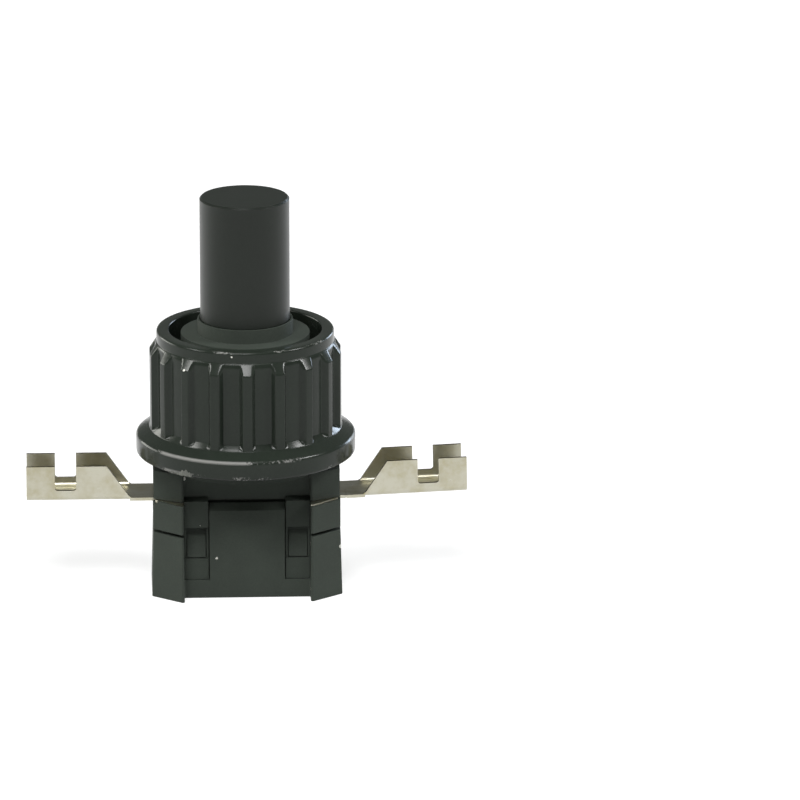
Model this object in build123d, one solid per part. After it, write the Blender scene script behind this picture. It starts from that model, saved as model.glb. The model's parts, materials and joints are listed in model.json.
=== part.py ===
from build123d import *
from math import cos, radians, sin, tan, tau
import os

# Latching push-button switch for a hand torch, in millimetres.
# Origin: centre of the base's underside, on the plunger's axis. +Z is up, the front is -Y and
# the two terminal clips run along +X and -X. Front and back are alike.

OVERRUN = 0.50              # how far a cut runs past the face it opens
NEAR = 0.01                 # how closely an edge picked by its height is matched

# ---- Heights, from the base's underside up ----
CUP_FLOOR = 1.20            # inside floor of the base cup
BAND_TOP = 1.30             # plain band under the snap loops
LOOP_BOTTOM = 1.32
LOOP_BAR_TOP = 2.87         # top of the bar that hooks under the catch
CATCH_BOTTOM = 2.93
CATCH_TOP = 4.60
CUP_RIM = 4.75              # where the contact frame sits on the cup
FRAME_SKIRT = 5.00          # the frame's outer skirt stops short of the rim: a shadow gap
WINDOW_TOP = 5.19           # top of the opening in each snap loop
TONGUE_TOP = 6.95
FRAME_TOP = 6.88            # under the terminal plates
PLATE_TOP = 7.10
HOUSING_BOTTOM = 7.12
LEG_TOP = 7.36
BODY_TOP = 9.20
CHAMBER_FLOOR = 9.90
SHOULDER_TOP = 10.00
COLLAR_BOTTOM = 10.13
RIM_TOP = 11.48             # top edge of the collar's flange
CONE_TOP = 12.05            # the flange's top slopes up to the ribs
FLUTE_BOTTOM = 11.98
CHAMBER_CEILING = 16.30
THREAD_TOP = 17.20
RIB_SHOULDER = 17.50        # the ribs' chamfer starts here
RIB_TOP = 18.25
NECK_TOP = 18.86
COLLAR_TOP = 19.10
LIP_TOP = 19.86
PLUNGER_TOP = 28.74

# ---- Plan of the lower body: wide, with a slanted land at each corner ----
HALF_WIDTH = 6.65
CORNER_DEPTH = 2.40         # half depth at the ends
LAND_DEPTH = 4.20           # half depth at the lands' inner edges
LAND_X = 4.48
CENTRE_DEPTH = 2.95         # half depth at the tongue and the band
SLOT_X = 2.68               # each snap loop's slot runs from here to LAND_X
SLOT_DEPTH = 2.20
CAVITY_X = 5.70
CAVITY_DEPTH = 1.60
CORNER_ROUND = 0.14
SKIRT_STEP = 0.60           # depth of the shadow gap under the contact frame
BASE_DRAFT = 1.5            # degrees; the cup widens by this towards its underside
FRAME_RIM = 0.14            # width of the low rim round the terminal plates
LEFT_RIM_TOP = 7.10         # the left rim hides its plate's edge, except at the end
LEFT_RIM_END = 6.35
RIGHT_RIM_TOP = 7.01        # the right rim leaves a bright line of sheet showing
STRIP_GAP = 0.05            # each side of a strip where it passes the rim
TONGUE_CHAMFER = (0.35, 0.50)           # back and down from the tongue's top edge
TONGUE_BACK = SLOT_DEPTH + 0.05
PLATE_GAP = 0.02            # between a terminal's plate and the plastic beside it
SEAT_INSET = 0.20           # the frame's raised seat stops this far inside the lands

# ---- Upper housing ----
BODY_HALF_WIDTH = 6.62
BODY_CORNER = 2.00
BODY_LAND = 3.15
BODY_CENTRE = 2.40
LEG_X = (2.75, 4.46)
LEG_DEPTH = (2.30, 2.90)    # inner and outer face of a snap leg
RAIL_WIDTH = 0.14
CATCH_SIDE_GAP = 0.05
CATCH_DEPTH = 2.75          # the catch's nose, just inside the leg's outer face
RAIL_SETBACK = 0.20
SHOULDER_R = 5.60
THREAD_R = 5.30
NECK_R = 4.57
LIP_R = 3.38
CHAMBER_R = 4.25
GUIDE_R = 3.24              # 0.065 round the plunger
SLIDER_HOLE_R = 2.20
SPLINES = 4
SPLINE_WIDTH = 0.90
SPLINE_R = 3.70
SPLINE_BOTTOM = 13.85
SPLINE_ROOT = 0.20          # how far a spline reaches into the chamber's wall

# ---- Knurled collar ----
COLLAR_BORE_R = 5.36        # 0.06 round the thread
COLLAR_MOUTH_R = 5.42
COLLAR_RIM_R = 6.30
RIB_R = 6.85
FLUTE_FLOOR_R = 6.42
FLANGE_R = 7.80
FLANGE_ROUND = 0.18
RIBS = 18
RIB_CREST = 5.2             # degrees of arc on one rib's crest
RIB_FOOT = 10.0             # and where the rib meets the flutes' floor
RIB_EASE = 0.05             # small step where the ribs meet the rim and the flange

# ---- Plunger, rotor and slider ----
PLUNGER_R = 3.175
PLUNGER_ROUND = 0.12
PLUNGER_FLANGE_R = 4.15
PLUNGER_FLANGE = (15.10, 16.20)
CROWN_R = 3.10
TEETH = 8
TOOTH_HEIGHT = 0.45
CROWN_BOTTOM = 13.85        # tips of the plunger's teeth
TOOTH_FLAT = 0.25           # width left at each tooth's tip
KEYWAY_GAP = (0.08, 0.10)   # round a spline: at its nose and at each side
PLUNGER_BORE_R = 2.00
PLUNGER_BORE_TOP = 26.00
ROTOR_BODY = (12.50, 13.30)
ROTOR_TIP = 13.75           # tips of the rotor's teeth
ROTOR_KEY_R = 4.10
ROTOR_KEY_WIDTH = 1.10
ROTOR_KEY_ROOT = 0.30
PILOT_R = 1.90
PILOT_TOP = 15.50
HEAD_R = 2.05
HEAD = (11.50, 12.40)
STEM_R = 1.20
FOOT = (1.40, 1.45, 5.30, 6.30)         # half length, half width, bottom, top
TRAVEL = 2.40

# ---- Sheet metal ----
SHEET = 0.22
CLIP_HALF_WIDTH = 1.70
CLIP_TOP = 9.46
CLIP_START = 8.10
CLIP_END = 15.62
TOOTH_END = 12.10           # the notch lies between TOOTH_END and NOTCH_END
NOTCH_END = 13.60
NOTCH_BOTTOM = 7.68
NOTCH_ROUND = 0.20
SLANT_TOP_X = 9.93
SLANT_FOOT = (0.25, 0.12)   # along and up from the strip to where the slant starts
BEND_R = 0.30               # inside radius of the clip's folds
STRIP_BEND_X = 7.00
STRIP_OVERLAP = 0.20        # the strip runs this far into the channel
KNEE = (0.30, 0.05, 0.02)   # the bend's filling: length, inset from the sides and the faces
RIGHT_SWING = 4.5           # degrees the right clip is bent back
RIGHT_TILT = 1.0            # degrees the right clip is bent up
PLATE_SETBACK = 0.16        # the plates lie this far inside the frame's edge
DROP_X = 5.67               # outer face of the leg that goes down inside
TAB_END = 2.60
TAB_HALF_WIDTH = 1.20
BRIDGE_HALF = (3.90, 1.10)
BRIDGE_BOTTOM = 5.05
CONTACT_X = 3.30
CONTACT_R = 0.40
CONTACT_GAP = 0.05          # left between bridge and tabs at the end of the press
CONTACT_BOTTOM = 4.65
TAB_TOP = CONTACT_BOTTOM - TRAVEL - CONTACT_GAP

# ---- Return spring ----
WIRE_R = 0.14
SPRING_R = 1.08
SPRING_COILS = 4.5
SPRING_END_GAP = 0.01
POST_R = 0.80
POST_TOP = 2.20


def disc(radius, low, high):
    return Pos(0, 0, low) * Cylinder(radius, high - low, align=(Align.CENTER, Align.CENTER, Align.MIN))


def block(x, y, z):
    """A box from three (low, high) pairs."""
    size = [b - a for a, b in (x, y, z)]
    return Pos(x[0], y[0], z[0]) * Box(*size, align=(Align.MIN, Align.MIN, Align.MIN))


def around(shape, count, start=0.0):
    """Copies of a shape, evenly turned about Z."""
    return [Rot(0, 0, start + 360.0 * k / count) * shape for k in range(count)]


def four_corners(shape):
    """A shape and its mirror images left, right, front and back."""
    pair = [shape, mirror(shape, Plane.YZ)]
    return pair + [mirror(s, Plane.XZ) for s in pair]


def outline(half_width, corner, land, centre, height):
    """The lower body's outline at a height: slanted corner lands and a recessed centre."""
    quarter = [(LAND_X, centre), (LAND_X, land), (half_width, corner)]
    points = quarter + [(x, -y) for x, y in reversed(quarter)]
    points += [(-x, -y) for x, y in quarter] + [(-x, y) for x, y in reversed(quarter)]
    face = make_face(Polyline(*points, close=True))
    return Pos(0, 0, height) * fillet(face.vertices(), CORNER_ROUND)


def plan(half_width, corner, land, centre, low, high):
    """A straight body with that outline, between two heights."""
    return extrude(outline(half_width, corner, land, centre, low), high - low)


def side_profile(points, half_width):
    """A sheet or leg drawn in X and Z and made as wide as 2 * half_width along Y."""
    face = make_face(Plane.XZ * Polyline(*points, close=True))
    return extrude(face, half_width, both=True)


def depth_profile(points, x):
    """A wedge drawn in Y and Z, between two values of X."""
    face = make_face(Plane.YZ * Polyline(*points, close=True))
    return Pos(x[0], 0, 0) * extrude(face, x[1] - x[0])


def turned(points):
    """A body turned about Z from a closed outline of radius and height."""
    return revolve(make_face(Plane.XZ * Polyline(*points, close=True)), Axis.Z)


def tooth_gaps(low, high, up):
    """Sawtooth gaps for a ring of teeth; the teeth point up or down."""
    width = tau * CROWN_R / TEETH
    tip, root = (high, low) if up else (low, high)
    flank = width / 2 - TOOTH_FLAT
    gap = [(-width / 2, tip), (flank, tip), (flank, root)]
    face = make_face(Plane.XZ * Polyline(*gap, close=True))
    return around(extrude(face, CROWN_R + OVERRUN), TEETH)


# ---- Base cup: lower body, tongues and snap catches ----
def base_cup():
    spread = CUP_RIM * tan(radians(BASE_DRAFT))
    sizes = (HALF_WIDTH, CORNER_DEPTH, LAND_DEPTH, CENTRE_DEPTH)
    cup = loft([outline(*[size + spread for size in sizes], 0), outline(*sizes, CUP_RIM)], ruled=True)
    cup -= block((-CAVITY_X, CAVITY_X), (-CAVITY_DEPTH, CAVITY_DEPTH), (CUP_FLOOR, CUP_RIM))
    slot = block((SLOT_X, LAND_X), (SLOT_DEPTH, CENTRE_DEPTH + OVERRUN), (BAND_TOP, CUP_RIM))
    cup -= four_corners(slot)
    back, down = TONGUE_CHAMFER
    tongue = depth_profile([(TONGUE_BACK, CUP_RIM), (CENTRE_DEPTH, CUP_RIM),
                            (CENTRE_DEPTH, TONGUE_TOP - down), (CENTRE_DEPTH - back, TONGUE_TOP),
                            (TONGUE_BACK, TONGUE_TOP)], (-SLOT_X, SLOT_X))
    side = RAIL_WIDTH + CATCH_SIDE_GAP
    catch = depth_profile([(SLOT_DEPTH, CATCH_BOTTOM), (CATCH_DEPTH, CATCH_BOTTOM),
                           (SLOT_DEPTH, CATCH_TOP)], (LEG_X[0] + side, LEG_X[1] - side))
    cup += [tongue, mirror(tongue, Plane.XZ)] + four_corners(catch)
    cup += disc(POST_R, CUP_FLOOR, POST_TOP)
    return cup


# ---- Contact frame: the middle layer that the terminals lie on ----
def contact_frame():
    frame = plan(HALF_WIDTH, CORNER_DEPTH, LAND_DEPTH, SLOT_DEPTH, FRAME_SKIRT, FRAME_TOP)
    frame += plan(HALF_WIDTH - SKIRT_STEP, CORNER_DEPTH, LAND_DEPTH - SKIRT_STEP, SLOT_DEPTH,
                  CUP_RIM, FRAME_SKIRT)
    seat_x, seat_y = LAND_X - SEAT_INSET, SLOT_DEPTH - PLATE_GAP
    frame += block((-seat_x, seat_x), (-seat_y, seat_y), (FRAME_TOP, PLATE_TOP))
    for x, top in (((-LEFT_RIM_END, -LAND_X), LEFT_RIM_TOP), ((LAND_X, HALF_WIDTH), RIGHT_RIM_TOP)):
        rim = plan(HALF_WIDTH, CORNER_DEPTH, LAND_DEPTH, SLOT_DEPTH, FRAME_TOP, top)
        rim -= plan(HALF_WIDTH - FRAME_RIM, CORNER_DEPTH - FRAME_RIM, LAND_DEPTH - FRAME_RIM, SLOT_DEPTH,
                    FRAME_TOP, top)
        rim -= block((-HALF_WIDTH, HALF_WIDTH), (-CLIP_HALF_WIDTH - STRIP_GAP, CLIP_HALF_WIDTH + STRIP_GAP),
                     (FRAME_TOP, top))
        frame += rim & block(x, (-LAND_DEPTH, LAND_DEPTH), (FRAME_TOP, top))
    frame -= block((-CAVITY_X, CAVITY_X), (-CAVITY_DEPTH, CAVITY_DEPTH), (CUP_RIM, PLATE_TOP))
    return frame


# ---- Upper housing: body, shoulder, threaded neck, lip and four snap legs ----
def snap_leg():
    depth = LEG_DEPTH
    leg = block(LEG_X, depth, (LOOP_BOTTOM, HOUSING_BOTTOM))
    leg += depth_profile([(depth[0], HOUSING_BOTTOM), (depth[1], HOUSING_BOTTOM),
                          (BODY_CENTRE, LEG_TOP), (depth[0], LEG_TOP)], LEG_X)
    window = (LEG_X[0] + RAIL_WIDTH, LEG_X[1] - RAIL_WIDTH)
    leg -= block(window, (depth[0], depth[1]), (LOOP_BAR_TOP, WINDOW_TOP))
    leg -= block(LEG_X, (depth[1] - RAIL_SETBACK, depth[1]), (LOOP_BAR_TOP, WINDOW_TOP))
    return leg


def upper_housing():
    housing = plan(BODY_HALF_WIDTH, BODY_CORNER, BODY_LAND, BODY_CENTRE, HOUSING_BOTTOM, BODY_TOP)
    housing += disc(SHOULDER_R, BODY_TOP, SHOULDER_TOP)
    housing += disc(THREAD_R, SHOULDER_TOP, THREAD_TOP)
    housing += disc(NECK_R, THREAD_TOP, NECK_TOP)
    housing += disc(LIP_R, NECK_TOP, LIP_TOP)
    housing -= disc(GUIDE_R, CHAMBER_CEILING, LIP_TOP)
    housing -= disc(CHAMBER_R, CHAMBER_FLOOR, CHAMBER_CEILING)
    housing -= disc(SLIDER_HOLE_R, HOUSING_BOTTOM, CHAMBER_FLOOR)
    spline = block((SPLINE_R, CHAMBER_R + SPLINE_ROOT), (-SPLINE_WIDTH / 2, SPLINE_WIDTH / 2),
                   (SPLINE_BOTTOM, CHAMBER_CEILING))
    housing += around(spline, SPLINES)
    housing += four_corners(snap_leg())
    return housing


# ---- Collar: ring nut with eighteen ribs over a sloping flange ----
def knurled_collar():
    edge = FLANGE_ROUND
    ring = turned([(COLLAR_BORE_R, COLLAR_BOTTOM), (FLANGE_R - edge, COLLAR_BOTTOM),
                   (FLANGE_R, COLLAR_BOTTOM + edge), (FLANGE_R, RIM_TOP - edge),
                   (FLANGE_R - edge, RIM_TOP), (RIB_R, CONE_TOP - RIB_EASE), (RIB_R, RIB_SHOULDER),
                   (COLLAR_RIM_R + RIB_EASE, RIB_TOP), (COLLAR_RIM_R, RIB_TOP),
                   (COLLAR_RIM_R, COLLAR_TOP), (COLLAR_MOUTH_R, COLLAR_TOP),
                   (COLLAR_MOUTH_R, THREAD_TOP), (COLLAR_BORE_R, THREAD_TOP)])
    # Each flute has a flat floor and straight flanks that widen to the ribs' crests.
    floor = FLUTE_FLOOR_R * tan(radians(180.0 / RIBS - RIB_FOOT / 2))
    mouth = RIB_R * sin(radians(180.0 / RIBS - RIB_CREST / 2))
    mouth_x = RIB_R * cos(radians(180.0 / RIBS - RIB_CREST / 2))
    grow = (RIB_R + OVERRUN - FLUTE_FLOOR_R) / (mouth_x - FLUTE_FLOOR_R)
    wide = floor + (mouth - floor) * grow
    face = make_face(Polyline((FLUTE_FLOOR_R, -floor), (RIB_R + OVERRUN, -wide),
                              (RIB_R + OVERRUN, wide), (FLUTE_FLOOR_R, floor), close=True))
    flute = Pos(0, 0, FLUTE_BOTTOM) * extrude(face, COLLAR_TOP - FLUTE_BOTTOM)
    return ring - around(flute, RIBS, start=-90 + 180.0 / RIBS)


# ---- Plunger: button stem, keyed flange and a crown of teeth, cored out from below ----
def plunger():
    low, high = PLUNGER_FLANGE
    edge = PLUNGER_ROUND
    body = turned([(PLUNGER_BORE_R, CROWN_BOTTOM), (CROWN_R, CROWN_BOTTOM), (CROWN_R, low),
                   (PLUNGER_FLANGE_R, low), (PLUNGER_FLANGE_R, high), (PLUNGER_R, high),
                   (PLUNGER_R, PLUNGER_TOP - edge), (PLUNGER_R - edge, PLUNGER_TOP),
                   (0, PLUNGER_TOP), (0, PLUNGER_BORE_TOP), (PLUNGER_BORE_R, PLUNGER_BORE_TOP)])
    nose, side = KEYWAY_GAP
    half = SPLINE_WIDTH / 2 + side
    keyway = block((SPLINE_R - nose, PLUNGER_FLANGE_R + OVERRUN), (-half, half), (low, high))
    body -= around(keyway, SPLINES)
    return body - tooth_gaps(CROWN_BOTTOM, CROWN_BOTTOM + TOOTH_HEIGHT, up=False)


# ---- Index rotor: turned half a tooth by each press ----
def index_rotor():
    low, high = ROTOR_BODY
    rotor = disc(CROWN_R, low, ROTOR_TIP)
    rotor -= tooth_gaps(ROTOR_TIP - TOOTH_HEIGHT, ROTOR_TIP, up=True)
    half = ROTOR_KEY_WIDTH / 2
    key = block((CROWN_R - ROTOR_KEY_ROOT, ROTOR_KEY_R), (-half, half), (low, high))
    rotor += around(key, SPLINES, start=45)
    return rotor + disc(PILOT_R, low, PILOT_TOP)


# ---- Contact carrier: carries the bridge down with the plunger ----
def contact_carrier():
    half_x, half_y, low, high = FOOT
    carrier = disc(HEAD_R, *HEAD) + disc(STEM_R, low, HEAD[0])
    return carrier + block((-half_x, half_x), (-half_y, half_y), (low, high))


# ---- Contact bridge: brass bar with a pip near each end ----
def contact_bridge():
    half_x, half_y = BRIDGE_HALF
    bar = block((-half_x, half_x), (-half_y, half_y), (BRIDGE_BOTTOM, FOOT[2]))
    pip = Pos(CONTACT_X, 0, 0) * disc(CONTACT_R, CONTACT_BOTTOM, BRIDGE_BOTTOM)
    return bar + [pip, mirror(pip, Plane.YZ)]


# ---- Return spring ----
def return_spring():
    low = CUP_FLOOR + WIRE_R + SPRING_END_GAP
    high = BRIDGE_BOTTOM - WIRE_R - SPRING_END_GAP
    path = Helix(pitch=(high - low) / SPRING_COILS, height=high - low, radius=SPRING_R)
    wire = Plane(origin=path @ 0, z_dir=path % 0) * Circle(WIRE_R)
    return Pos(0, 0, low) * sweep(wire, path=path)


# ---- Terminals: one folded sheet each, drawn towards +X ----
def clip():
    """The outer end: a channel folded up from the strip, notched and cut back on a slant."""
    low = PLATE_TOP - SHEET
    half = CLIP_HALF_WIDTH
    channel = block((CLIP_START, CLIP_END), (-half, half), (low, CLIP_TOP))
    lower_edges = [e for e in channel.edges().filter_by(Axis.X) if e.center().Z < low + NEAR]
    channel = fillet(lower_edges, BEND_R + SHEET)
    hollow = block((CLIP_START, CLIP_END), (SHEET - half, half - SHEET), (PLATE_TOP, CLIP_TOP))
    lower_edges = [e for e in hollow.edges().filter_by(Axis.X) if e.center().Z < PLATE_TOP + NEAR]
    channel -= fillet(lower_edges, BEND_R)
    notch = block((TOOTH_END, NOTCH_END), (-half, half), (NOTCH_BOTTOM, CLIP_TOP))
    lower_edges = [e for e in notch.edges().filter_by(Axis.Y) if e.center().Z < NOTCH_BOTTOM + NEAR]
    channel -= fillet(lower_edges, NOTCH_ROUND)
    slant = side_profile([(CLIP_START, PLATE_TOP), (CLIP_START + SLANT_FOOT[0], PLATE_TOP + SLANT_FOOT[1]),
                          (SLANT_TOP_X, CLIP_TOP), (CLIP_START, CLIP_TOP)], half)
    return channel - slant


def terminal():
    """Plate under the housing, strip out to the clip, and the leg down to the fixed contact."""
    low = PLATE_TOP - SHEET
    plate = plan(HALF_WIDTH - PLATE_SETBACK, CORNER_DEPTH - PLATE_SETBACK, LAND_DEPTH - PLATE_SETBACK,
                 SLOT_DEPTH, low, PLATE_TOP)
    plate &= block((LAND_X + PLATE_GAP, HALF_WIDTH), (-LAND_DEPTH, LAND_DEPTH), (low, PLATE_TOP))
    plate -= block((0, DROP_X - SHEET), (-CAVITY_DEPTH, CAVITY_DEPTH), (low, PLATE_TOP))
    half = TAB_HALF_WIDTH
    strip = block((DROP_X, CLIP_START + STRIP_OVERLAP), (-CLIP_HALF_WIDTH, CLIP_HALF_WIDTH),
                  (low, PLATE_TOP))
    drop = block((DROP_X - SHEET, DROP_X), (-half, half), (TAB_TOP - SHEET, PLATE_TOP))
    tab = block((TAB_END, DROP_X), (-half, half), (TAB_TOP - SHEET, TAB_TOP))
    return plate + strip + drop + tab


def terminal_left():
    return mirror(terminal() + clip(), Plane.YZ)


def terminal_right():
    """As the left, with its clip bent a little back and up where the strip leaves the body."""
    whole = terminal() + clip()
    inside = whole & block((0, STRIP_BEND_X), (-LAND_DEPTH, LAND_DEPTH), (0, CLIP_TOP))
    outside = whole & block((STRIP_BEND_X, CLIP_END), (-LAND_DEPTH, LAND_DEPTH), (0, CLIP_TOP))
    hinge = Pos(STRIP_BEND_X, 0, PLATE_TOP)
    bent = hinge * Rot(0, -RIGHT_TILT, RIGHT_SWING) * hinge.inverse() * outside
    length, side, face = KNEE
    filling = Box(length, 2 * (CLIP_HALF_WIDTH - side), SHEET - 2 * face)
    knee = Pos(STRIP_BEND_X, 0, PLATE_TOP - SHEET / 2) * filling
    return inside + bent + knee


NODES = {
    "base_cup": base_cup,
    "contact_frame": contact_frame,
    "upper_housing": upper_housing,
    "knurled_collar": knurled_collar,
    "plunger": plunger,
    "index_rotor": index_rotor,
    "contact_carrier": contact_carrier,
    "contact_bridge": contact_bridge,
    "return_spring": return_spring,
    "terminal_left": terminal_left,
    "terminal_right": terminal_right,
}

os.makedirs("parts", exist_ok=True)
for name, make in NODES.items():
    solid = make()
    export_step(solid, f"parts/{name}.step")
    print(f"{name}: {len(solid.solids())} solid, {solid.volume:.2f} mm3")
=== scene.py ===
# %% [markdown]
# # A latching push-button switch for a flashlight
# The switch is a handful of black mouldings and two folded sheet clips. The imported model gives
# every piece its true size and place, and everything here is in metres in that same frame.

# %% Load the frame
import json
import random
from math import cos, pi, radians, sin

import bmesh
import bpy
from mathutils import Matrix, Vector

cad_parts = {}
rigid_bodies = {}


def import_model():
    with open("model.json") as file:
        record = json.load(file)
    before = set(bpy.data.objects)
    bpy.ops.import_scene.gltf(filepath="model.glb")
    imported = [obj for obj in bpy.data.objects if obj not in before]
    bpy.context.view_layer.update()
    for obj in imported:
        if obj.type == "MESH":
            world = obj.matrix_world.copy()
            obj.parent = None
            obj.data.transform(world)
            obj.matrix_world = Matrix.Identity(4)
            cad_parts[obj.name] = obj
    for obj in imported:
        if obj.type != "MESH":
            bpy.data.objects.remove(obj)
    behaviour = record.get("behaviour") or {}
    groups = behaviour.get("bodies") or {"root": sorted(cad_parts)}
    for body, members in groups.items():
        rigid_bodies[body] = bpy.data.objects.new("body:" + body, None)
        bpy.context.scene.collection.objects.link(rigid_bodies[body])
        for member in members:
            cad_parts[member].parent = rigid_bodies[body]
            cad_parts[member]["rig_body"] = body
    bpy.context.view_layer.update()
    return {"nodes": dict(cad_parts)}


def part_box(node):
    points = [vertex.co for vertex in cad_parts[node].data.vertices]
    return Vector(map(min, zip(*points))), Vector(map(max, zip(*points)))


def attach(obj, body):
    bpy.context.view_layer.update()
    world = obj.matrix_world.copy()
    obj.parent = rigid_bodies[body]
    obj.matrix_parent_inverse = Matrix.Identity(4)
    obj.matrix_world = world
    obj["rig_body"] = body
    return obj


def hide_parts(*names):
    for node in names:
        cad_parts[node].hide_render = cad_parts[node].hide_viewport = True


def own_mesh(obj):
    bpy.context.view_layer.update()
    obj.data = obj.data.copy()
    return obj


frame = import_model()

MM = 0.001

# %% [markdown]
# ## Small helpers for node trees
# A shader effect that several finishes share is one node group with named sockets. Building it
# once keeps the finishes alike, and each material then places it with its own values.


# %% Node tree helpers
def new_tree(name, kind, inputs, outputs):
    """A node group of a kind, with named sockets given as (name, type, default)."""
    tree = bpy.data.node_groups.new(name, kind)
    for direction, sockets in (("INPUT", inputs), ("OUTPUT", outputs)):
        for label, socket_type, default in sockets:
            made = tree.interface.new_socket(label, in_out=direction, socket_type=socket_type)
            if default is not None:
                made.default_value = default
    return tree, tree.nodes.new("NodeGroupInput"), tree.nodes.new("NodeGroupOutput")


def add(tree, kind, links=None, **settings):
    """A node with its settings; links maps an input to a socket to join or a value to hold."""
    node = tree.nodes.new(kind)
    for key, value in settings.items():
        setattr(node, key, value)
    for key, value in (links or {}).items():
        if isinstance(value, bpy.types.NodeSocket):
            tree.links.new(value, node.inputs[key])
        else:
            node.inputs[key].default_value = value
    return node


def math_node(tree, operation, *values):
    """One Math node; returns its output socket."""
    return add(tree, "ShaderNodeMath", dict(enumerate(values)), operation=operation).outputs[0]


def new_object(name, data):
    """An object at the origin, linked to the scene."""
    made = bpy.data.objects.new(name, data)
    bpy.context.scene.collection.objects.link(made)
    return made


# %% [markdown]
# ## Moulded plastic
# Moulded plastic is never one flat colour: the mould leaves a fine grain, the pigment is a little
# uneven, and the gloss drifts over the part. The group turns a colour and a roughness into ones
# that wander slightly, and gives a height for the grain.


# %% Group: moulded surface
def build_moulded_group():
    tree, start, end = new_tree(
        "moulded_surface", "ShaderNodeTree",
        [("Color", "NodeSocketColor", (0.05, 0.05, 0.05, 1)), ("Roughness", "NodeSocketFloat", 0.4),
         ("Grain Scale", "NodeSocketFloat", 9000.0), ("Mottle", "NodeSocketFloat", 0.25),
         ("Gloss Drift", "NodeSocketFloat", 0.10)],
        [("Color", "NodeSocketColor", None), ("Roughness", "NodeSocketFloat", None),
         ("Height", "NodeSocketFloat", None)])
    place = add(tree, "ShaderNodeTexCoord").outputs["Object"]
    grain = add(tree, "ShaderNodeTexNoise", {"Vector": place, "Scale": start.outputs["Grain Scale"],
                                             "Detail": 3.0, "Roughness": 0.6}).outputs[0]
    cloud = add(tree, "ShaderNodeTexNoise", {"Vector": place, "Scale": 420.0, "Detail": 4.0}).outputs[0]
    swing = math_node(tree, "SUBTRACT", cloud, 0.5)
    fine_swing = math_node(tree, "SUBTRACT", grain, 0.5)
    both = math_node(tree, "ADD", swing, math_node(tree, "MULTIPLY", fine_swing, 0.7))
    mottle = math_node(tree, "MULTIPLY", start.outputs["Mottle"], 2.0)
    gain = math_node(tree, "MULTIPLY_ADD", both, mottle, 1.0)
    tint = add(tree, "ShaderNodeVectorMath", {0: start.outputs["Color"], "Scale": gain},
               operation="SCALE").outputs[0]
    rough = math_node(tree, "MULTIPLY_ADD", swing, start.outputs["Gloss Drift"], start.outputs["Roughness"])
    tree.links.new(tint, end.inputs["Color"])
    tree.links.new(rough, end.inputs["Roughness"])
    tree.links.new(grain, end.inputs["Height"])
    return tree


moulded_group = build_moulded_group()
print("moulded group:", len(moulded_group.nodes), "nodes")

# %% [markdown]
# ## Dust
# Loose dust shows as sparse pale specks on dark plastic. Voronoi cells give one possible speck
# each; a random value per cell keeps only a few of them, and noise roughens their outline.


# %% Group: dust specks
def build_dust_group():
    tree, start, end = new_tree(
        "dust_specks", "ShaderNodeTree",
        [("Color", "NodeSocketColor", (0.05, 0.05, 0.05, 1)),
         ("Dust", "NodeSocketColor", (0.6, 0.6, 0.55, 1)),
         ("Scale", "NodeSocketFloat", 900.0), ("Share", "NodeSocketFloat", 0.05),
         ("Size", "NodeSocketFloat", 0.10)],
        [("Color", "NodeSocketColor", None), ("Mask", "NodeSocketFloat", None)])
    place = add(tree, "ShaderNodeTexCoord").outputs["Object"]
    ragged = add(tree, "ShaderNodeTexNoise", {"Vector": place, "Scale": 9000.0, "Detail": 2.0}).outputs[0]
    cells = add(tree, "ShaderNodeTexVoronoi", {"Vector": place, "Scale": start.outputs["Scale"]})
    pick = add(tree, "ShaderNodeSeparateColor", {"Color": cells.outputs["Color"]})
    kept = math_node(tree, "LESS_THAN", pick.outputs[0], start.outputs["Share"])
    spread = math_node(tree, "ADD", ragged, pick.outputs[1])
    reach = math_node(tree, "MULTIPLY", spread, start.outputs["Size"])
    inside = math_node(tree, "LESS_THAN", cells.outputs["Distance"], reach)
    mask = math_node(tree, "MULTIPLY", kept, inside)
    mixed = add(tree, "ShaderNodeMix", {0: mask, 6: start.outputs["Color"], 7: start.outputs["Dust"]},
                data_type="RGBA").outputs[2]
    tree.links.new(mixed, end.inputs["Color"])
    tree.links.new(mask, end.inputs["Mask"])
    return tree


dust_group = build_dust_group()
print("dust group:", len(dust_group.nodes), "nodes")
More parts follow.
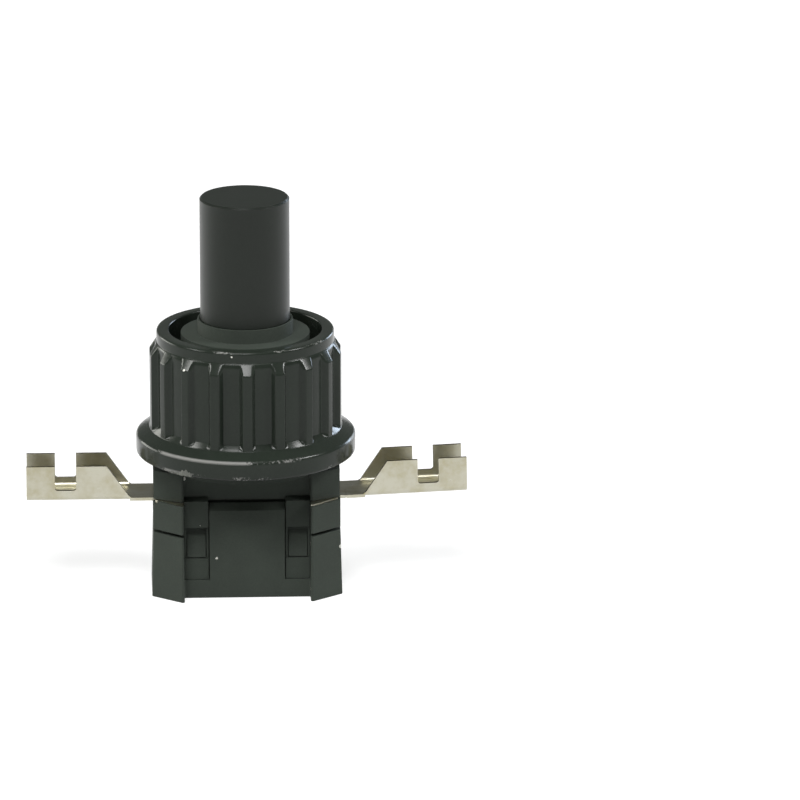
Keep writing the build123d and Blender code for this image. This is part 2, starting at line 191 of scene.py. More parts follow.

# %% [markdown]
# ## Scuffed edges and a painted highlight
# Where a ring's edge has rubbed, black plastic turns pale in short ragged streaks. The same pale
# streaks also stand for the bright line of light along the edge, so they are partly wear and partly
# a painted highlight. The group finds a ring-shaped edge from its radius and height, and noise along
# it decides where the streaks lie.


# %% Group: scuffed ring edge with a painted highlight
def build_scuff_and_highlight_group():
    tree, start, end = new_tree(
        "scuffed_edge_and_painted_highlight", "ShaderNodeTree",
        [("Color", "NodeSocketColor", (0.05, 0.05, 0.05, 1)),
         ("Pale", "NodeSocketColor", (0.2, 0.2, 0.19, 1)),
         ("Radius", "NodeSocketFloat", 0.007), ("Height", "NodeSocketFloat", 0.01),
         ("Width", "NodeSocketFloat", 0.0002), ("Share", "NodeSocketFloat", 0.4)],
        [("Color", "NodeSocketColor", None), ("Mask", "NodeSocketFloat", None)])
    place = add(tree, "ShaderNodeTexCoord").outputs["Object"]
    spot = add(tree, "ShaderNodeSeparateXYZ", {0: place}).outputs
    flat = add(tree, "ShaderNodeCombineXYZ", {0: spot[0], 1: spot[1]}).outputs[0]
    radius = add(tree, "ShaderNodeVectorMath", {0: flat}, operation="LENGTH").outputs["Value"]
    across = math_node(tree, "SUBTRACT", radius, start.outputs["Radius"])
    upward = math_node(tree, "SUBTRACT", spot[2], start.outputs["Height"])
    apart = math_node(tree, "SQRT", math_node(tree, "ADD", math_node(tree, "MULTIPLY", across, across),
                                              math_node(tree, "MULTIPLY", upward, upward)))
    near = add(tree, "ShaderNodeMapRange", {0: math_node(tree, "DIVIDE", apart, start.outputs["Width"]),
                                            1: 0.3, 2: 1.0, 3: 1.0, 4: 0.0}).outputs[0]
    stretch = add(tree, "ShaderNodeTexNoise", {"Vector": place, "Scale": 330.0, "Detail": 1.0}).outputs[0]
    ragged = add(tree, "ShaderNodeTexNoise", {"Vector": place, "Scale": 5200.0, "Detail": 3.0,
                                              "Roughness": 0.7}).outputs[0]
    both = math_node(tree, "MULTIPLY_ADD", math_node(tree, "SUBTRACT", stretch, 0.5), 2.2, ragged)
    limit = math_node(tree, "SUBTRACT", 1.0, start.outputs["Share"])
    # Pale streaks: partly wear, partly a painted highlight along the edge.
    wear_and_highlight = add(tree, "ShaderNodeMapRange", {0: both, 1: limit, 2: math_node(tree, "ADD", limit, 0.12),
                                            3: 0.0, 4: 1.0}).outputs[0]
    mask = math_node(tree, "MULTIPLY", near, wear_and_highlight)
    mixed = add(tree, "ShaderNodeMix", {0: mask, 6: start.outputs["Color"], 7: start.outputs["Pale"]},
                data_type="RGBA").outputs[2]
    tree.links.new(mixed, end.inputs["Color"])
    tree.links.new(mask, end.inputs["Mask"])
    return tree


scuff_and_highlight_group = build_scuff_and_highlight_group()
print("scuff group:", len(scuff_and_highlight_group.nodes), "nodes")

# %% [markdown]
# ## Rolled sheet
# Tin-plated strip keeps the faint lines of the rolling mill along its length, with soft stains
# where it was handled. Stretching noise along X draws the lines; a second, cloudy noise moves the
# colour between a clean and a stained tone.


# %% Group: rolled sheet
def build_sheet_group():
    tree, start, end = new_tree(
        "rolled_sheet", "ShaderNodeTree",
        [("Clean", "NodeSocketColor", (0.7, 0.68, 0.6, 1)),
         ("Stained", "NodeSocketColor", (0.5, 0.46, 0.34, 1)),
         ("Roughness", "NodeSocketFloat", 0.3), ("Line Scale", "NodeSocketFloat", 7000.0)],
        [("Color", "NodeSocketColor", None), ("Roughness", "NodeSocketFloat", None),
         ("Height", "NodeSocketFloat", None)])
    place = add(tree, "ShaderNodeTexCoord").outputs["Object"]
    along = add(tree, "ShaderNodeMapping", {"Vector": place, "Scale": (0.04, 1.0, 1.0)}).outputs[0]
    lines = add(tree, "ShaderNodeTexNoise", {"Vector": along, "Scale": start.outputs["Line Scale"],
                                             "Detail": 2.0}).outputs[0]
    stains = add(tree, "ShaderNodeTexNoise", {"Vector": place, "Scale": 700.0, "Detail": 5.0,
                                              "Roughness": 0.65}).outputs[0]
    share = add(tree, "ShaderNodeMapRange", {0: stains, 1: 0.42, 2: 0.75, 3: 0.0, 4: 1.0}).outputs[0]
    tone = add(tree, "ShaderNodeMix", {0: share, 6: start.outputs["Clean"], 7: start.outputs["Stained"]},
               data_type="RGBA").outputs[2]
    line_swing = math_node(tree, "MULTIPLY", math_node(tree, "SUBTRACT", lines, 0.5), 0.16)
    rough = math_node(tree, "ADD", line_swing,
                      math_node(tree, "MULTIPLY_ADD", share, 0.12, start.outputs["Roughness"]))
    tree.links.new(tone, end.inputs["Color"])
    tree.links.new(rough, end.inputs["Roughness"])
    tree.links.new(lines, end.inputs["Height"])
    return tree


sheet_group = build_sheet_group()
print("sheet group:", len(sheet_group.nodes), "nodes")

# %% [markdown]
# ## The finishes
# Each finish is a Principled BSDF of its own, fed by the groups. The base and the housing are matt,
# the collar comes from a polished mould, and the plunger lies between the two.


# %% Plastic finishes
SCUFF_ROUGHER = 0.3                     # added to the roughness under an edge's pale streaks, which are scuffs and a painted highlight
GRAIN_STRENGTH = 0.35


def place_group(tree, group, values):
    return add(tree, "ShaderNodeGroup", values, node_tree=group)


def bump(tree, height, strength, distance):
    """Normals tilted by a height; returns the output socket."""
    values = {"Height": height, "Strength": strength, "Distance": distance}
    return add(tree, "ShaderNodeBump", values).outputs[0]


def plastic(name, colour, roughness, grain_scale, grain_depth, mottle, dust_share, specular=0.5,
            scuffs_and_highlights=()):
    """A moulded finish; the last argument has (radius, height, width, share) for each ring edge with pale
    streaks, partly scuffs and partly a painted highlight.
    """
    material = bpy.data.materials.new(name)
    material.use_nodes = True
    tree = material.node_tree
    shader = tree.nodes["Principled BSDF"]
    skin = place_group(tree, moulded_group, {"Color": (*colour, 1), "Roughness": roughness,
                                             "Grain Scale": grain_scale, "Mottle": mottle})
    dust = place_group(tree, dust_group, {"Color": skin.outputs["Color"], "Share": dust_share})
    colour_now, roughness_now = dust.outputs["Color"], skin.outputs["Roughness"]
    # Each ring edge adds pale streaks, which are scuffs and a painted highlight together.
    for radius, height, width, share in scuffs_and_highlights:
        scuff_and_highlight = place_group(tree, scuff_and_highlight_group, {"Color": colour_now, "Radius": radius, "Height": height,
                                                "Width": width, "Share": share})
        colour_now = scuff_and_highlight.outputs["Color"]
        roughness_now = math_node(tree, "MULTIPLY_ADD", scuff_and_highlight.outputs["Mask"], SCUFF_ROUGHER, roughness_now)
    tree.links.new(colour_now, shader.inputs["Base Color"])
    tree.links.new(roughness_now, shader.inputs["Roughness"])
    tree.links.new(bump(tree, skin.outputs["Height"], GRAIN_STRENGTH, grain_depth), shader.inputs["Normal"])
    shader.inputs["Specular IOR Level"].default_value = specular
    return material


# %% Plastics
matt_black = plastic("matt_black_moulding", (0.040, 0.048, 0.040), 0.60, 7000.0, 0.010 * MM, 0.20, 0.05,
                     specular=0.15)
collar_low, collar_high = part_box("knurled_collar")
COLLAR_BOTTOM, COLLAR_TOP, FLANGE_R = collar_low.z, collar_high.z, collar_high.x
FLANGE_TOP = COLLAR_BOTTOM + 1.35 * MM
RIM_R = 6.30 * MM
# The pale streaks on these ring edges are partly scuffs and partly a painted highlight along the collar's
# edges.
UPPER_FLANGE_EDGE = (FLANGE_R - 0.06 * MM, FLANGE_TOP - 0.05 * MM, 0.16 * MM, 0.42)
LOWER_FLANGE_EDGE = (FLANGE_R, COLLAR_BOTTOM + 0.12 * MM, 0.22 * MM, 0.30)
RIM_EDGE = (RIM_R - 0.05 * MM, COLLAR_TOP - 0.05 * MM, 0.12 * MM, 0.28)
gloss_black = plastic("glossy_black_moulding", (0.016, 0.021, 0.016), 0.20, 5000.0, 0.003 * MM, 0.20, 0.03,
                      specular=0.21, scuffs_and_highlights=(UPPER_FLANGE_EDGE, LOWER_FLANGE_EDGE, RIM_EDGE))
satin_black = plastic("satin_black_button", (0.007, 0.010, 0.007), 0.34, 6000.0, 0.005 * MM, 0.20, 0.012,
                      specular=0.30)
natural_white = plastic("natural_inner_moulding", (0.72, 0.70, 0.64), 0.45, 5000.0, 0.006 * MM, 0.06, 0.0)


# %% Metal finishes
SHEARED_SHADE = "sheared_shade"                     # the mesh attribute that marks cut edges, where shade is painted
SHEARED_ROUGHER = 0.15
LINE_STRENGTH = 0.3


def metal(name, clean, stained, roughness, line_depth, sheared_shade=None):
    """A rolled finish; the last argument is the painted-shade colour of cut edges, where a mesh marks them.
    """
    material = bpy.data.materials.new(name)
    material.use_nodes = True
    tree = material.node_tree
    shader = tree.nodes["Principled BSDF"]
    skin = place_group(tree, sheet_group, {"Clean": (*clean, 1), "Stained": (*stained, 1),
                                           "Roughness": roughness})
    colour_now, roughness_now = skin.outputs["Color"], skin.outputs["Roughness"]
    if sheared_shade:
        cut = add(tree, "ShaderNodeAttribute", attribute_name=SHEARED_SHADE).outputs["Fac"]
        colour_now = add(tree, "ShaderNodeMix", {0: cut, 6: colour_now, 7: (*sheared_shade, 1)},
                         data_type="RGBA").outputs[2]
        roughness_now = math_node(tree, "MULTIPLY_ADD", cut, SHEARED_ROUGHER, roughness_now)
    tree.links.new(colour_now, shader.inputs["Base Color"])
    tree.links.new(roughness_now, shader.inputs["Roughness"])
    tree.links.new(bump(tree, skin.outputs["Height"], LINE_STRENGTH, line_depth), shader.inputs["Normal"])
    shader.inputs["Metallic"].default_value = 1.0
    return material


# Cut edges of the tinned sheet: their near-black colour is painted shade and dark reflection; only the
# added roughness is the bare cut metal.
tinned_sheet = metal("tin_plated_sheet", (0.49, 0.475, 0.39), (0.40, 0.365, 0.24), 0.30, 0.004 * MM,
                     sheared_shade=(0.085, 0.070, 0.035))
contact_brass = metal("stamped_brass", (0.78, 0.60, 0.28), (0.58, 0.42, 0.18), 0.28, 0.003 * MM)
spring_wire = metal("drawn_spring_wire", (0.60, 0.60, 0.58), (0.45, 0.44, 0.42), 0.30, 0.002 * MM)
print("finishes:", sorted(m.name for m in bpy.data.materials))

# %% [markdown]
# ## Edges that catch the light
# No moulded or sheared edge is perfectly sharp, and the thin bright line along it is much of what
# makes a part look real. A CAD mesh is loose triangles, so a copy is merged first, its flat faces
# are joined back into whole faces, and then a small bevel runs along the true edges only.


# %% Softened copies of the CAD parts
EDGE_ANGLE = radians(28)
FLAT_ANGLE = radians(0.5)               # faces this close to one plane become one face
MERGE = 0.0005 * MM


def finish_mesh(piece, material):
    """Bakes the piece's modifiers into a plain mesh, smooth except over true edges."""
    evaluated = piece.evaluated_get(bpy.context.evaluated_depsgraph_get())
    mesh = bpy.data.meshes.new_from_object(evaluated)
    piece.modifiers.clear()
    piece.data = mesh
    mesh.materials.clear()
    mesh.materials.append(material)
    mesh.polygons.foreach_set("material_index", [0] * len(mesh.polygons))
    return piece


def softened(node, name, material, width, segments=2):
    """A copy of a CAD node with bevelled edges, riding where the node rides and standing for it."""
    source = frame["nodes"][node]
    mesh = source.data.copy()
    work = bmesh.new()
    work.from_mesh(mesh)
    bmesh.ops.remove_doubles(work, verts=work.verts, dist=MERGE)
    bmesh.ops.dissolve_limit(work, angle_limit=FLAT_ANGLE, verts=work.verts, edges=work.edges)
    for face in work.faces:
        face.smooth = True
    work.to_mesh(mesh)
    work.free()
    if "custom_normal" in mesh.attributes:
        mesh.attributes.remove(mesh.attributes["custom_normal"])
    piece = new_object(name, mesh)
    bevel = piece.modifiers.new("edge", "BEVEL")
    bevel.width = width
    bevel.segments = segments
    bevel.limit_method = "ANGLE"
    bevel.angle_limit = EDGE_ANGLE
    bevel.use_clamp_overlap = True
    bevel.harden_normals = True
    finish_mesh(piece, material)
    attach(piece, source["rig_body"])
    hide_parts(node)
    print(f"{name}: {len(piece.data.polygons)} faces")
    return piece


BUTTON_SLOT, INNER_SLOT, SHEET_SLOT = "plunger_plastic", "inner_plastic", "tinned_sheet"

# %% [markdown]
# ## Base, frame and housing
# The base cup, the contact frame and the housing share one matt black. The housing is one moulding
# from its snap legs up to the lip round the button, and the button is smoother than all three.

# %% Mouldings
base = softened("base_cup", "base_moulding", matt_black, 0.07 * MM)
middle = softened("contact_frame", "frame_moulding", matt_black, 0.06 * MM)
housing = softened("upper_housing", "housing_moulding", matt_black, 0.06 * MM)
button = softened("plunger", "button_stem", satin_black, 0.09 * MM, 3)

# %% [markdown]
# ## Terminals
# Each terminal is one sheared and folded strip. The shear leaves a crisp edge with only a hint of
# rounding, so the bevel is a tenth of the sheet's thickness. It also bares the brass under the
# plating, which makes the finish duller there, so the faces of the cut edges are marked; their
# near-black colour is painted shade, for the shade and dark reflection that the thin edges show.

# %% Sheet metal
CLIP_START = 8.2 * MM                   # cut edges, which get painted shade, are marked beyond this, out along the strip
FOLD_TOP = 7.4 * MM                     # and above this the walls stand clear of the fold
FACES_ALONG = 0.6                       # a normal's share along an axis, for a face to count
for side in ("left", "right"):
    strip = softened(f"terminal_{side}", f"clip_{side}", tinned_sheet, 0.025 * MM)
    # The marked faces get the cut edges' painted shade.
    cut = strip.data.attributes.new(SHEARED_SHADE, "FLOAT", "FACE")
    for k, face in enumerate(strip.data.polygons):
        beyond, standing = abs(face.center.x) > CLIP_START, face.center.z > FOLD_TOP
        faces_out = abs(face.normal.x) > FACES_ALONG
        wall_edge = standing and abs(face.normal.y) < FACES_ALONG
        cut.data[k].value = float(beyond and (faces_out or wall_edge))

# %% [markdown]
# ## The knurled collar
# The ring nut is a turned shape whose eighteen flutes follow one rule: at each angle the surface
# lies at the turned profile or at the rib's own section, whichever is nearer the axis. Geometry
# Nodes hold that rule: the profile is swept round a circle, and a smooth minimum pulls the points
# into the flutes, which also rounds the ribs' edges a little.

# %% The collar's turned profile
RIBS = 18
RIB_R = 6.85 * MM
BORE_R = 5.36 * MM
MOUTH_R = 5.42 * MM
FLUTE_FLOOR_R = 6.42 * MM
RIB_CREST = radians(5.2)                # arc of a rib's crest, and of its foot on the flutes' floor
RIB_FOOT = radians(10.0)
CONE_TOP = COLLAR_BOTTOM + 1.92 * MM
RIB_SHOULDER = COLLAR_TOP - 1.60 * MM
RIB_TOP = COLLAR_TOP - 0.85 * MM
THREAD_TOP = COLLAR_TOP - 1.90 * MM
STEPS_PER_RIB = 50
RUNOUT_SLOPE = 0.68                     # climb of the flutes' lower ends for each unit inwards
EDGE_BLEND = 0.05 * MM
LONGEST_SIDE = 0.30 * MM                # of the profile, so that the flutes have points to move
FLOOR_MARGIN = 1e-5                     # keeps the rim and the bore out of the flutes' rule


def rounded_outline(corners, steps=4):
    """A closed outline from (radius, height, rounding) corners, each rounding a short arc."""
    outline = []
    count = len(corners)
    for k, (r, z, rounding) in enumerate(corners):
        here = Vector((r, z))
        if not rounding:
            outline.append(here)
            continue
        before = (Vector(corners[k - 1][:2]) - here).normalized()
        after = (Vector(corners[(k + 1) % count][:2]) - here).normalized()
        start, stop = here + before * rounding, here + after * rounding
        for i in range(steps + 1):
            t = i / steps
            outline.append(start.lerp(here, t).lerp(here.lerp(stop, t), t))
    return outline


def subdivided(outline, longest):
    """The same outline with no side longer than a given length."""
    points = []
    for k, here in enumerate(outline):
        ahead = outline[(k + 1) % len(outline)]
        pieces = max(1, int((ahead - here).length / longest))
        points += [here.lerp(ahead, i / pieces) for i in range(pieces)]
    return points


profile = rounded_outline([
    (BORE_R, COLLAR_BOTTOM, 0), (FLANGE_R, COLLAR_BOTTOM, 0.22 * MM), (FLANGE_R, FLANGE_TOP, 0.20 * MM),
    (RIB_R, CONE_TOP - 0.05 * MM, 0.04 * MM), (RIB_R, CONE_TOP + 0.03 * MM, 0),
    (RIB_R, RIB_SHOULDER, 0.08 * MM), (RIM_R + 0.05 * MM, RIB_TOP, 0.04 * MM),
    (RIM_R, RIB_TOP + 0.05 * MM, 0.02 * MM), (RIM_R, COLLAR_TOP, 0.20 * MM),
    (MOUTH_R, COLLAR_TOP, 0.12 * MM), (MOUTH_R, THREAD_TOP, 0), (BORE_R, THREAD_TOP, 0)])
profile = subdivided(profile, LONGEST_SIDE)
print("collar profile:", len(profile), "points")

profile_mesh = bpy.data.meshes.new("collar_profile")
profile_mesh.from_pydata([(p.x, p.y, 0) for p in profile],
                         [(k, (k + 1) % len(profile)) for k in range(len(profile))], [])
collar = new_object("knurled_ring", profile_mesh)


# %% The collar's node tree
def build_collar_tree():
    tree, start, end = new_tree(
        "fluted_ring", "GeometryNodeTree",
        [("Profile", "NodeSocketGeometry", None), ("Steps", "NodeSocketInt", 864),
         ("Ribs", "NodeSocketInt", 18),
         ("Rib Radius", "NodeSocketFloat", 0.0068), ("Rib Crest", "NodeSocketFloat", 0.09),
         ("Rib Foot", "NodeSocketFloat", 0.17), ("Flute Floor", "NodeSocketFloat", 0.0064),
         ("Flute Bottom", "NodeSocketFloat", 0.012), ("Bottom Slope", "NodeSocketFloat", 0.7),
         ("Blend", "NodeSocketFloat", 0.00003), ("Material", "NodeSocketMaterial", None)],
        [("Geometry", "NodeSocketGeometry", None)])
    value = start.outputs
    outline = add(tree, "GeometryNodeMeshToCurve", {0: value["Profile"]}).outputs[0]
    path = add(tree, "GeometryNodeCurvePrimitiveCircle",
               {"Resolution": value["Steps"], "Radius": 1.0}).outputs[0]
    swept = add(tree, "GeometryNodeCurveToMesh", {"Curve": path, "Profile Curve": outline}).outputs[0]
    # The sweep puts the outline's X across the path and its Y along -Z. Taking the unit circle
    # off leaves the outline's X as the radius.
    position = add(tree, "GeometryNodeInputPosition").outputs[0]
    spot = add(tree, "ShaderNodeSeparateXYZ", {0: position}).outputs
    far = math_node(tree, "SQRT", math_node(tree, "ADD", math_node(tree, "MULTIPLY", spot[0], spot[0]),
                                            math_node(tree, "MULTIPLY", spot[1], spot[1])))
    radius = math_node(tree, "ABSOLUTE", math_node(tree, "SUBTRACT", far, 1.0))
    height = math_node(tree, "MULTIPLY", spot[2], -1.0)
    angle = math_node(tree, "ARCTAN2", spot[1], spot[0])
    # One rib faces the front, at -90 degrees; the distance round from the nearest rib's middle
    # decides between crest, flank and floor.
    half_pitch = math_node(tree, "DIVIDE", pi, value["Ribs"])
    from_rib = math_node(tree, "WRAP", math_node(tree, "ADD", angle, pi / 2), half_pitch,
                         math_node(tree, "MULTIPLY", half_pitch, -1.0))
    turn = math_node(tree, "ABSOLUTE", from_rib)
    crest, foot = [math_node(tree, "MULTIPLY", value[key], 0.5) for key in ("Rib Crest", "Rib Foot")]
    rib_height = math_node(tree, "SUBTRACT", value["Rib Radius"], value["Flute Floor"])
    slope = math_node(tree, "DIVIDE", rib_height, math_node(tree, "SUBTRACT", foot, crest))
    from_foot = math_node(tree, "SUBTRACT", foot, turn)
    flank = math_node(tree, "MULTIPLY_ADD", from_foot, slope, value["Flute Floor"])
    raised = math_node(tree, "SMOOTH_MAX", flank, value["Flute Floor"], value["Blend"])
    ribbed = math_node(tree, "SMOOTH_MIN", raised, radius, value["Blend"])
    above = math_node(tree, "GREATER_THAN", height, value["Flute Bottom"])
    innermost = math_node(tree, "SUBTRACT", value["Flute Floor"], FLOOR_MARGIN)
    cut = math_node(tree, "MULTIPLY", above, math_node(tree, "GREATER_THAN", radius, innermost))
    depth = math_node(tree, "MULTIPLY", math_node(tree, "SUBTRACT", ribbed, radius), cut)
    kept = math_node(tree, "ADD", radius, depth)
    # The flutes run out on the flange's slope, which goes on inwards between the ribs.
    slope_top = math_node(tree, "MULTIPLY_ADD", math_node(tree, "SUBTRACT", value["Rib Radius"], kept),
                          value["Bottom Slope"], value["Flute Bottom"])
    climb = math_node(tree, "MAXIMUM", math_node(tree, "SUBTRACT", slope_top, height), 0.0)
    level = math_node(tree, "MULTIPLY_ADD", climb, cut, height)
    moved = add(tree, "ShaderNodeCombineXYZ", {
        0: math_node(tree, "MULTIPLY", kept, math_node(tree, "COSINE", angle)),
        1: math_node(tree, "MULTIPLY", kept, math_node(tree, "SINE", angle)), 2: level}).outputs[0]
    placed = add(tree, "GeometryNodeSetPosition", {0: swept, "Position": moved}).outputs[0]
    smooth = add(tree, "GeometryNodeSetShadeSmooth", {0: placed}).outputs[0]
    real = add(tree, "GeometryNodeRealizeInstances", {0: smooth}).outputs[0]
    finished = add(tree, "GeometryNodeSetMaterial", {0: real, "Material": value["Material"]}).outputs[0]
    tree.links.new(finished, end.inputs[0])
    return tree


def set_inputs(modifier, values):
    """Sets a Geometry Nodes modifier's inputs by their names, through the sockets' identifiers."""
    for item in modifier.node_group.interface.items_tree:
        if item.item_type == "SOCKET" and item.in_out == "INPUT" and item.name in values:
            modifier[item.identifier] = values[item.name]


collar_nodes = collar.modifiers.new("flutes", "NODES")
collar_nodes.node_group = build_collar_tree()
set_inputs(collar_nodes, {
    "Steps": RIBS * STEPS_PER_RIB, "Ribs": RIBS, "Rib Radius": RIB_R, "Rib Crest": RIB_CREST,
    "Rib Foot": RIB_FOOT, "Flute Floor": FLUTE_FLOOR_R, "Flute Bottom": CONE_TOP,
    "Bottom Slope": RUNOUT_SLOPE, "Blend": EDGE_BLEND, "Material": gloss_black})
finish_mesh(collar, gloss_black)
shape = bmesh.new()
shape.from_mesh(collar.data)
bmesh.ops.remove_doubles(shape, verts=shape.verts, dist=MERGE)
bmesh.ops.recalc_face_normals(shape, faces=shape.faces)
shape.to_mesh(collar.data)
shape.free()
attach(collar, "collar")
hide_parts("knurled_collar")
low = Vector(map(min, *[v.co for v in collar.data.vertices]))
high = Vector(map(max, *[v.co for v in collar.data.vertices]))
print("collar:", len(collar.data.polygons), "faces,", [round(v / MM, 2) for v in high - low], "mm")

# %% [markdown]
# ## Moulding flash
# A little plastic squeezed out of the mould along the flange's lower edge and was broken off, which
# left a short, pale and ragged fin. It is a closed strip along the arc whose reach and height go up
# and down with a seeded random walk.

# %% Flash on the flange
FLASH_ARC = (radians(-135.5), radians(-120.5))
FLASH_STEPS = 60
FLASH_SEED = 7
FLASH_ROOT = 0.06 * MM
ROOT_INSIDE = 0.12 * MM                 # how far the strip is sunk in the flange, past its root
SIDE_LIFT = 0.012 * MM                  # the upper point's height off the flange's side
REACH = (0.02, 0.12, 0.035, 0.06)       # least, most, largest step and start, in mm
CLIMB = (0.12, 0.52, 0.10, 0.25)
RISE_RATE, FALL_RATE = 6, 14            # how soon the fin grows and dies away along the arc
scuffed_plastic = plastic("stress_whitened_plastic", (0.11, 0.115, 0.10), 0.55, 9000.0, 0.02 * MM, 0.9, 0.0)


def wander(dice, now, limits):
    """One step of a random walk that stays between its limits."""
    least, most, step, _ = limits
    return min(max(now + dice.uniform(-step, step), least), most)


def build_flash():
    """Rings of four points: under the flange, at the tip, up on its side, and inside it."""
    dice = random.Random(FLASH_SEED)
    verts, faces = [], []
    reach, climb = REACH[-1], CLIMB[-1]
    inside = FLANGE_R - FLASH_ROOT - ROOT_INSIDE
    for k in range(FLASH_STEPS + 1):
        share = k / FLASH_STEPS
        angle = FLASH_ARC[0] + (FLASH_ARC[1] - FLASH_ARC[0]) * share
        fade = min(1.0, RISE_RATE * share, FALL_RATE * (1 - share))
        reach = wander(dice, reach, REACH)
        climb = wander(dice, climb, CLIMB)
        side = FLANGE_R - FLASH_ROOT * (1 - fade) + SIDE_LIFT
        for r, z in ((inside, -0.02), (FLANGE_R + reach * fade * MM, 0.05), (side, climb * fade),
                     (inside, 0.10)):
            verts.append((r * cos(angle), r * sin(angle), COLLAR_BOTTOM + z * MM))
    for k in range(FLASH_STEPS):
        for i in range(4):
            a, b = 4 * k + i, 4 * k + (i + 1) % 4
            faces.append((a, a + 4, b + 4, b))
    faces += [(0, 1, 2, 3), tuple(4 * FLASH_STEPS + i for i in (3, 2, 1, 0))]
    mesh = bpy.data.meshes.new("moulding_flash")
    mesh.from_pydata(verts, [], faces)
    mesh.materials.append(scuffed_plastic)
    return new_object("moulding_flash", mesh)


flash = build_flash()
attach(flash, "collar")
print("flash:", len(flash.data.polygons), "faces")

# %% [markdown]
# ## The return spring
# The spring is a round wire on a helix, so it is drawn as one: a spiral curve gives the path and a
# circle gives the wire. It stands between the cup's floor and the bridge; in the real switch it
# flattens as the button goes down, but here it is one fixed mesh.


# %% Spring
def build_spring_tree():
    tree, start, end = new_tree(
        "coil_spring", "GeometryNodeTree",
        [("Geometry", "NodeSocketGeometry", None), ("Coils", "NodeSocketFloat", 4.5),
         ("Coil Radius", "NodeSocketFloat", 0.001), ("Height", "NodeSocketFloat", 0.0035),
         ("Wire Radius", "NodeSocketFloat", 0.00014), ("Bottom", "NodeSocketFloat", 0.001),
         ("Material", "NodeSocketMaterial", None)],
        [("Geometry", "NodeSocketGeometry", None)])
    value = start.outputs
    path = add(tree, "GeometryNodeCurveSpiral", {
        "Resolution": 40, "Rotations": value["Coils"], "Start Radius": value["Coil Radius"],
        "End Radius": value["Coil Radius"], "Height": value["Height"]}).outputs[0]
    ring = add(tree, "GeometryNodeCurvePrimitiveCircle",
               {"Resolution": 12, "Radius": value["Wire Radius"]}).outputs[0]
    wire = add(tree, "GeometryNodeCurveToMesh",
               {"Curve": path, "Profile Curve": ring, "Fill Caps": True}).outputs[0]
    lift = add(tree, "ShaderNodeCombineXYZ", {2: value["Bottom"]}).outputs[0]
    raised = add(tree, "GeometryNodeTransform", {0: wire, "Translation": lift}).outputs[0]
    smooth = add(tree, "GeometryNodeSetShadeSmooth", {0: raised}).outputs[0]
    real = add(tree, "GeometryNodeRealizeInstances", {0: smooth}).outputs[0]
    finished = add(tree, "GeometryNodeSetMaterial", {0: real, "Material": value["Material"]}).outputs[0]
    tree.links.new(finished, end.inputs[0])
    return tree


spring_low, spring_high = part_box("return_spring")
WIRE_R = 0.14 * MM
COILS = 4.5
spring = new_object("coil_spring", bpy.data.meshes.new("coil_spring"))
spring_nodes = spring.modifiers.new("coils", "NODES")
spring_nodes.node_group = build_spring_tree()
set_inputs(spring_nodes, {
    "Coils": COILS, "Coil Radius": spring_high.x - WIRE_R, "Wire Radius": WIRE_R,
    "Height": spring_high.z - spring_low.z - 2 * WIRE_R, "Bottom": spring_low.z + WIRE_R,
    "Material": spring_wire})
finish_mesh(spring, spring_wire)
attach(spring, "switch_body")
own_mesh(spring)
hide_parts("return_spring")

# %% [markdown]
# ## Pieces inside
# The rotor, the carrier and the bridge are hidden in the closed switch. Their CAD shapes are right
# as they are, so they only get their finishes.

# %% Inner pieces
for node, material in (("index_rotor", natural_white), ("contact_carrier", natural_white),
                       ("contact_bridge", contact_brass)):
    inner = frame["nodes"][node]
    inner.data.materials.clear()
    inner.data.materials.append(material)
    print(f"{node}: {material.name}")

# %% [markdown]
# ## Floor and light
# The switch stands on a plain sweep. The lamps do the lighting at a plain level. The sweep shows
# as white to the eye and in reflections, because a share of glow is added for those rays only, and
# it still takes the switch's shadow.

# %% Stage
FLOOR_HALF = 3.0
FLOOR_COLOUR = 0.40
FLOOR_GLOW = 0.68
FLOOR_LEVEL = -0.01 * MM                # just under the switch
floor_mesh = bpy.data.meshes.new("floor")
floor_mesh.from_pydata([(x * FLOOR_HALF, y * FLOOR_HALF, FLOOR_LEVEL) for x, y in
                        ((-1, -1), (1, -1), (1, 1), (-1, 1))], [], [(0, 1, 2, 3)])
floor = new_object("floor", floor_mesh)


def seen_rays(tree):
    """One for rays from the eye, for reflections and for rays through glass; zero for the rest."""
    rays = add(tree, "ShaderNodeLightPath").outputs
    bent = math_node(tree, "MAXIMUM", rays["Is Glossy Ray"], rays["Is Transmission Ray"])
    return math_node(tree, "MAXIMUM", rays["Is Camera Ray"], bent)


paper = bpy.data.materials.new("white_paper")
paper.use_nodes = True
tree = paper.node_tree
shader = tree.nodes["Principled BSDF"]
shader.inputs["Base Color"].default_value = (FLOOR_COLOUR, FLOOR_COLOUR, FLOOR_COLOUR, 1)
shader.inputs["Roughness"].default_value = 1.0
shader.inputs["Specular IOR Level"].default_value = 0.0
glow_strength = math_node(tree, "MULTIPLY", seen_rays(tree), FLOOR_GLOW)
glow = add(tree, "ShaderNodeEmission", {"Strength": glow_strength})
total = add(tree, "ShaderNodeAddShader", {0: shader.outputs[0], 1: glow.outputs[0]}).outputs[0]
tree.links.new(total, tree.nodes["Material Output"].inputs["Surface"])
floor_mesh.materials.append(paper)
print("floor:", 2 * FLOOR_HALF, "m across")

# %% [markdown]
# ## Lamps
# A softbox in front and above lights the faces, and the collar's flange throws its shadow on the
# housing under it. Two more above the sides and two low panels behind draw the bright bands down
# the round parts, and a faint strip overhead lights the tops.


# %% Lamps and world
TARGET = Vector((0, 0, 12 * MM))
SKY_LIGHT = 0.10                        # the world's share of the light
SKY_SEEN = 0.10                         # added where the world is seen, also in a reflection


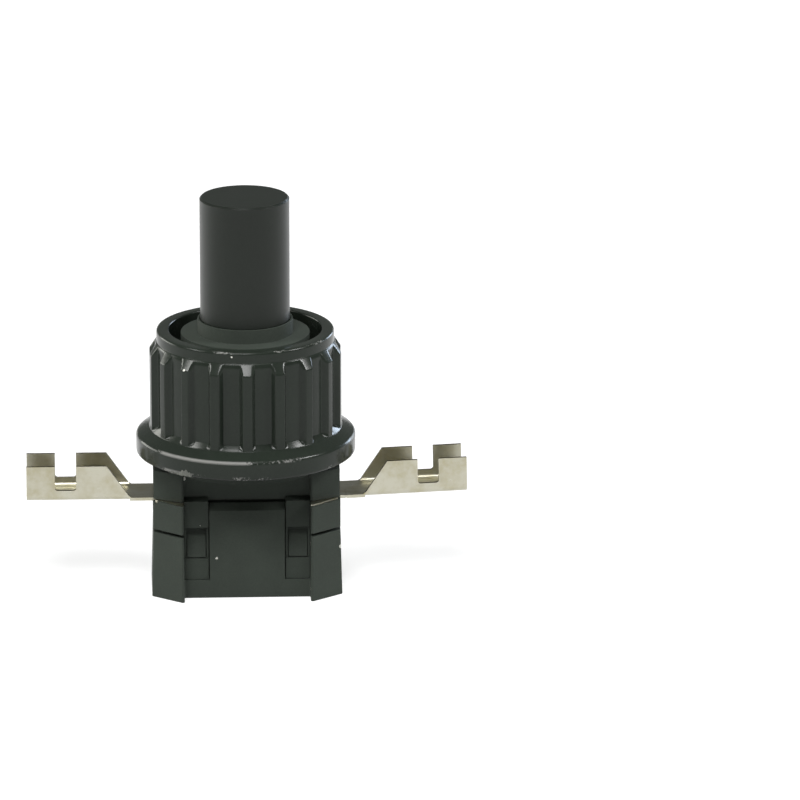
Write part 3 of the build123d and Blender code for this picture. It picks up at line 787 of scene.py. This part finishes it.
def softbox(name, turn, height, distance, size, level, colour=(1, 1, 1)):
    """A lamp at an angle round from the front and an angle up; its energy grows with distance."""
    turn, height = radians(turn), radians(height)
    away = Vector((sin(turn) * cos(height), -cos(turn) * cos(height), sin(height)))
    lamp = bpy.data.lights.new(name, "AREA")
    lamp.shape = "RECTANGLE"
    lamp.size, lamp.size_y = size
    lamp.energy = level * (pi * distance) ** 2
    lamp.color = colour
    holder = new_object(name, lamp)
    holder.location = TARGET + away * distance
    holder.rotation_euler = away.to_track_quat("Z", "Y").to_euler()


softbox("front_softbox", -12, 50, 0.55, (0.26, 0.14), 0.74)
softbox("upper_left_softbox", -76, 36, 0.45, (0.12, 0.12), 0.48, (1.0, 1.0, 0.97))
softbox("upper_right_softbox", 76, 37, 0.45, (0.12, 0.12), 0.62)
softbox("left_panel", -122, 4, 0.40, (0.24, 0.22), 0.60, (1.0, 1.0, 0.93))
softbox("right_panel", 138, 4, 0.42, (0.14, 0.22), 0.55, (0.72, 0.84, 1.0))
softbox("top_strip", 0, 68, 0.50, (0.40, 0.04), 0.10)
world = bpy.data.worlds.new("studio")
world.use_nodes = True
bpy.context.scene.world = world
sky = world.node_tree.nodes["Background"]
sky.inputs["Color"].default_value = (0.97, 1.0, 0.97, 1)
sky_rays = seen_rays(world.node_tree)
sky_strength = math_node(world.node_tree, "MULTIPLY_ADD", sky_rays, SKY_SEEN, SKY_LIGHT)
world.node_tree.links.new(sky_strength, sky.inputs["Strength"])
print("lamps:", len(bpy.data.lights))

# %% [markdown]
# ## Camera
# A long lens from a little above, slightly off the front, keeps the verticals nearly parallel.

# %% Camera
ELEVATION = radians(16.95)
SIDEWAYS = radians(2.34)
DISTANCE = 0.548
VIEW_WIDTH = 57.25 * MM                 # what the frame takes in at the switch
SWITCH_LEFT, SWITCH_DOWN = 10.97 * MM, 13.15 * MM       # the origin's place, off the frame's centre
SENSOR = 36.0

back = Vector((-sin(SIDEWAYS) * cos(ELEVATION), -cos(SIDEWAYS) * cos(ELEVATION), sin(ELEVATION)))
aim = back.to_track_quat("Z", "Y")
right, up = aim @ Vector((1, 0, 0)), aim @ Vector((0, 1, 0))
lens = bpy.data.cameras.new("camera")
lens.sensor_width = SENSOR
lens.lens = DISTANCE / VIEW_WIDTH * SENSOR
lens.clip_start, lens.clip_end = 0.01, 20.0
camera = new_object("camera", lens)
camera.rotation_mode = "QUATERNION"
camera.rotation_quaternion = aim
camera.location = back * DISTANCE + right * SWITCH_LEFT + up * SWITCH_DOWN
bpy.context.scene.camera = camera
bpy.context.scene.view_settings.view_transform = "Standard"
